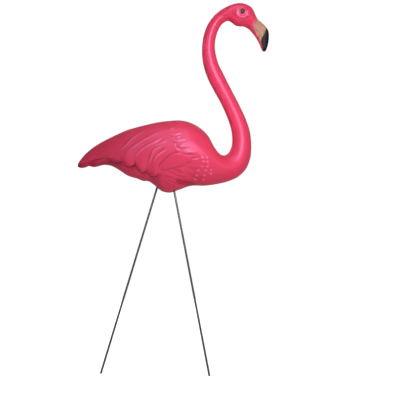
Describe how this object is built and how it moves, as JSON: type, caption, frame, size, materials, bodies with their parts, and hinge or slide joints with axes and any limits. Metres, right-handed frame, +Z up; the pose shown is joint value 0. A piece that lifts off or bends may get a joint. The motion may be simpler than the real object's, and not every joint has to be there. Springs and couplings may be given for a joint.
{
  "type": "pink flamingo lawn ornament",
  "caption": "Standing pink flamingo garden ornament of moulded plastic, its neck raised in an S, on steel rod legs that push into the ground.",
  "frame": {"origin": "on the ground, midway between the feet of the two rods", "axes": "+Z up, +X the way the bird faces, +Y the bird's left"},
  "size_m": [0.4445, 0.1518, 0.864],
  "materials": {
    "pink_plastic": "moulded, satin, with an airbrushed bill and painted eyes",
    "dark_steel": "drawn rod, dull grey"
  },
  "bodies": {
    "root": {"flamingo_body": "pink_plastic", "rear_leg": "dark_steel", "front_leg": "dark_steel"}
  },
  "joints": []
}
